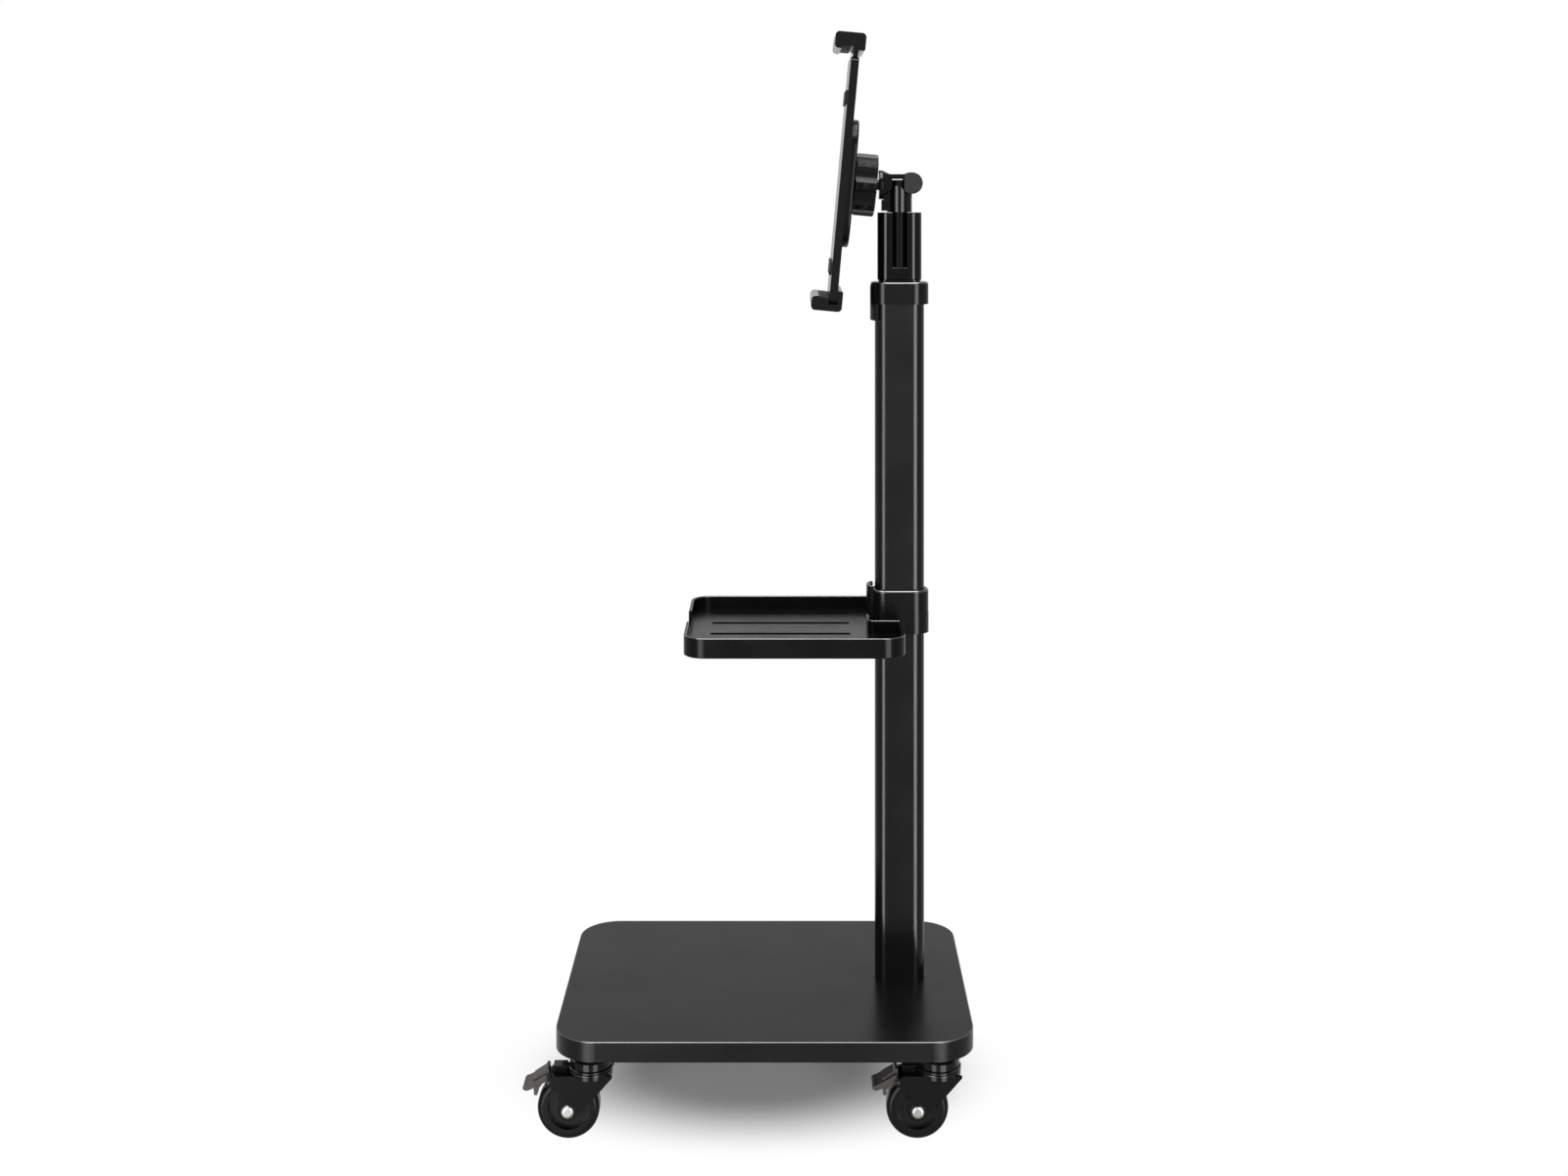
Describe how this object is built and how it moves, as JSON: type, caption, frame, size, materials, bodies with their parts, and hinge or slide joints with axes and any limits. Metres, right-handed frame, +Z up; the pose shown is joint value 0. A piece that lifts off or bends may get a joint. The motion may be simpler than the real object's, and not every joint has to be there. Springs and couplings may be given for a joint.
{
  "type": "adjustable tablet floor stand",
  "caption": "Rolling floor stand for a tablet: telescoping column, sliding tray, folding elbow and ball joint under a spring-loaded two-jaw holder, on braked swivel casters.",
  "frame": {"origin": "centre of the footprint box on the floor, under the lowered stand", "axes": "+Z up, +Y to the back where the column stands, -Y to the user, +X to the stand's right seen from the back"},
  "size_m": [0.252, 0.3624, 0.8954],
  "materials": {
    "base_paint": "satin black powder coat",
    "column_paint": "satin black powder coat",
    "mast_paint": "smooth satin black",
    "weight_iron": "rough cast",
    "collar_black": "fine moulded texture",
    "tray_black": "fine moulded texture",
    "glide_nylon": "smooth nylon",
    "head_black": "smooth gloss",
    "cap_black": "mottled matte",
    "bright_steel": "bright zinc plated",
    "cup_nylon": "smooth nylon",
    "holder_black": "satin moulded",
    "slider_steel": "black coated strip",
    "pad_rubber": "soft matte",
    "caster_steel": "semi-gloss black",
    "hub_black": "satin moulded",
    "tyre_black": "smooth tread",
    "pedal_brown": "worn satin, very dark brown"
  },
  "bodies": {
    "base": {"base_cover": "base_paint", "base_weight": "weight_iron", "bottom_panel": "base_paint", "column_foot": "glide_nylon", "column_screws": "bright_steel", "outer_column": "column_paint", "column_liner": "glide_nylon", "top_collar": "collar_black", "release_pin": "bright_steel", "caster_stems": "caster_steel", "caster_nuts": "bright_steel"},
    "release_tab": {"release_tab": "collar_black"},
    "mast": {"inner_tube": "mast_paint", "tube_glide": "glide_nylon", "head_block": "head_black"},
    "swivel": {"swivel_spindle": "bright_steel", "stem_sleeve": "head_black", "tilt_pin": "bright_steel", "pivot_caps": "cap_black"},
    "elbow": {"elbow_hood": "head_black", "ball_stud": "head_black"},
    "ball_cup": {"ball_cup": "cup_nylon"},
    "holder": {"ball_socket": "holder_black", "rear_boss": "holder_black", "boss_screws": "bright_steel", "holder_back": "holder_black", "holder_front": "holder_black", "lower_jaw": "holder_black", "lower_jaw_pad": "pad_rubber", "back_pads": "pad_rubber", "holder_springs": "bright_steel"},
    "lock_nut": {"lock_nut": "holder_black"},
    "jaw": {"jaw_slider": "slider_steel", "upper_jaw": "holder_black", "upper_jaw_pad": "pad_rubber"},
    "tray": {"tray": "tray_black", "tray_collar": "collar_black", "tray_screws": "bright_steel", "tray_pin": "bright_steel"},
    "tray_tab": {"tray_tab": "collar_black"},
    "caster_front_left": {"caster_fork_front_left": "caster_steel", "caster_axle_front_left": "bright_steel"},
    "wheel_front_left": {"caster_hub_front_left": "hub_black", "caster_tyre_front_left": "tyre_black"},
    "pedal_front_left": {"brake_pedal_front_left": "pedal_brown"},
    "caster_front_right": {"caster_fork_front_right": "caster_steel", "caster_axle_front_right": "bright_steel"},
    "wheel_front_right": {"caster_hub_front_right": "hub_black", "caster_tyre_front_right": "tyre_black"},
    "pedal_front_right": {"brake_pedal_front_right": "pedal_brown"},
    "caster_back_left": {"caster_fork_back_left": "caster_steel", "caster_axle_back_left": "bright_steel"},
    "wheel_back_left": {"caster_hub_back_left": "hub_black", "caster_tyre_back_left": "tyre_black"},
    "pedal_back_left": {"brake_pedal_back_left": "pedal_brown"},
    "caster_back_right": {"caster_fork_back_right": "caster_steel", "caster_axle_back_right": "bright_steel"},
    "wheel_back_right": {"caster_hub_back_right": "hub_black", "caster_tyre_back_right": "tyre_black"},
    "pedal_back_right": {"brake_pedal_back_right": "pedal_brown"}
  },
  "joints": [
    {"name": "mast_slide", "type": "slide", "parent": "base", "child": "mast", "axis": [0, 0, 1], "range_m": [0, 0.38]},
    {"name": "release_tab_press", "type": "hinge", "parent": "base", "child": "release_tab", "pos_m": [0, 0.1073, 0.677], "axis": [1, 0, 0], "range_deg": [0, 3], "stiffness_Nm_per_rad": 0.5, "springref_deg": -5.73},
    {"name": "tray_slide", "type": "slide", "parent": "base", "child": "tray", "axis": [0, 0, 1], "range_m": [-0.22, 0.2]},
    {"name": "tray_tab_press", "type": "hinge", "parent": "tray", "child": "tray_tab", "pos_m": [0, 0.104, 0.409], "axis": [-1, 0, 0], "range_deg": [0, 3], "stiffness_Nm_per_rad": 0.5, "springref_deg": -5.73},
    {"name": "head_swivel", "type": "hinge", "parent": "mast", "child": "swivel", "pos_m": [0, 0.127, 0.7436], "axis": [0, 0, 1], "continuous": true},
    {"name": "elbow_fold", "type": "hinge", "parent": "swivel", "child": "elbow", "pos_m": [0, 0.1371, 0.7686], "axis": [-1, 0, 0], "range_deg": [0, 90]},
    {"name": "ball_tilt", "type": "hinge", "parent": "elbow", "child": "ball_cup", "pos_m": [0, 0.0977, 0.767], "axis": [1, 0, 0], "range_deg": [-6, 7]},
    {"name": "holder_roll", "type": "hinge", "parent": "ball_cup", "child": "holder", "pos_m": [0, 0.0977, 0.767], "axis": [0, -0.9959, 0.0906], "continuous": true},
    {"name": "nut_turn", "type": "hinge", "parent": "holder", "child": "lock_nut", "pos_m": [0, 0.0977, 0.767], "axis": [0, -0.9959, 0.0906], "continuous": true},
    {"name": "jaw_slide", "type": "slide", "parent": "holder", "child": "jaw", "axis": [0, 0.0906, 0.9959], "range_m": [0, 0.065], "stiffness_N_per_m": 150, "springref_m": -0.04, "deforming": ["holder_springs"]},
    {"name": "caster_swivel_front_left", "type": "hinge", "parent": "base", "child": "caster_front_left", "pos_m": [-0.089, -0.1272, 0.055], "axis": [0, 0, 1], "continuous": true},
    {"name": "caster_swivel_front_right", "type": "hinge", "parent": "base", "child": "caster_front_right", "pos_m": [0.089, -0.1272, 0.055], "axis": [0, 0, 1], "continuous": true},
    {"name": "caster_swivel_back_left", "type": "hinge", "parent": "base", "child": "caster_back_left", "pos_m": [-0.089, 0.1536, 0.055], "axis": [0, 0, 1], "continuous": true},
    {"name": "caster_swivel_back_right", "type": "hinge", "parent": "base", "child": "caster_back_right", "pos_m": [0.089, 0.1536, 0.055], "axis": [0, 0, 1], "continuous": true},
    {"name": "wheel_spin_front_left", "type": "hinge", "parent": "caster_front_left", "child": "wheel_front_left", "pos_m": [-0.089, -0.1097, 0.025], "axis": [1, 0, 0], "continuous": true},
    {"name": "wheel_spin_front_right", "type": "hinge", "parent": "caster_front_right", "child": "wheel_front_right", "pos_m": [0.089, -0.1447, 0.025], "axis": [1, 0, 0], "continuous": true},
    {"name": "wheel_spin_back_left", "type": "hinge", "parent": "caster_back_left", "child": "wheel_back_left", "pos_m": [-0.089, 0.1361, 0.025], "axis": [1, 0, 0], "continuous": true},
    {"name": "wheel_spin_back_right", "type": "hinge", "parent": "caster_back_right", "child": "wheel_back_right", "pos_m": [0.089, 0.1361, 0.025], "axis": [1, 0, 0], "continuous": true},
    {"name": "pedal_press_front_left", "type": "hinge", "parent": "caster_front_left", "child": "pedal_front_left", "pos_m": [-0.089, -0.0942, 0.0479], "axis": [-1, 0, 0], "range_deg": [0, 5]},
    {"name": "pedal_press_front_right", "type": "hinge", "parent": "caster_front_right", "child": "pedal_front_right", "pos_m": [0.089, -0.1602, 0.0479], "axis": [1, 0, 0], "range_deg": [0, 5]},
    {"name": "pedal_press_back_left", "type": "hinge", "parent": "caster_back_left", "child": "pedal_back_left", "pos_m": [-0.089, 0.1206, 0.0479], "axis": [1, 0, 0], "range_deg": [0, 5]},
    {"name": "pedal_press_back_right", "type": "hinge", "parent": "caster_back_right", "child": "pedal_back_right", "pos_m": [0.089, 0.1206, 0.0479], "axis": [1, 0, 0], "range_deg": [0, 5]}
  ]
}
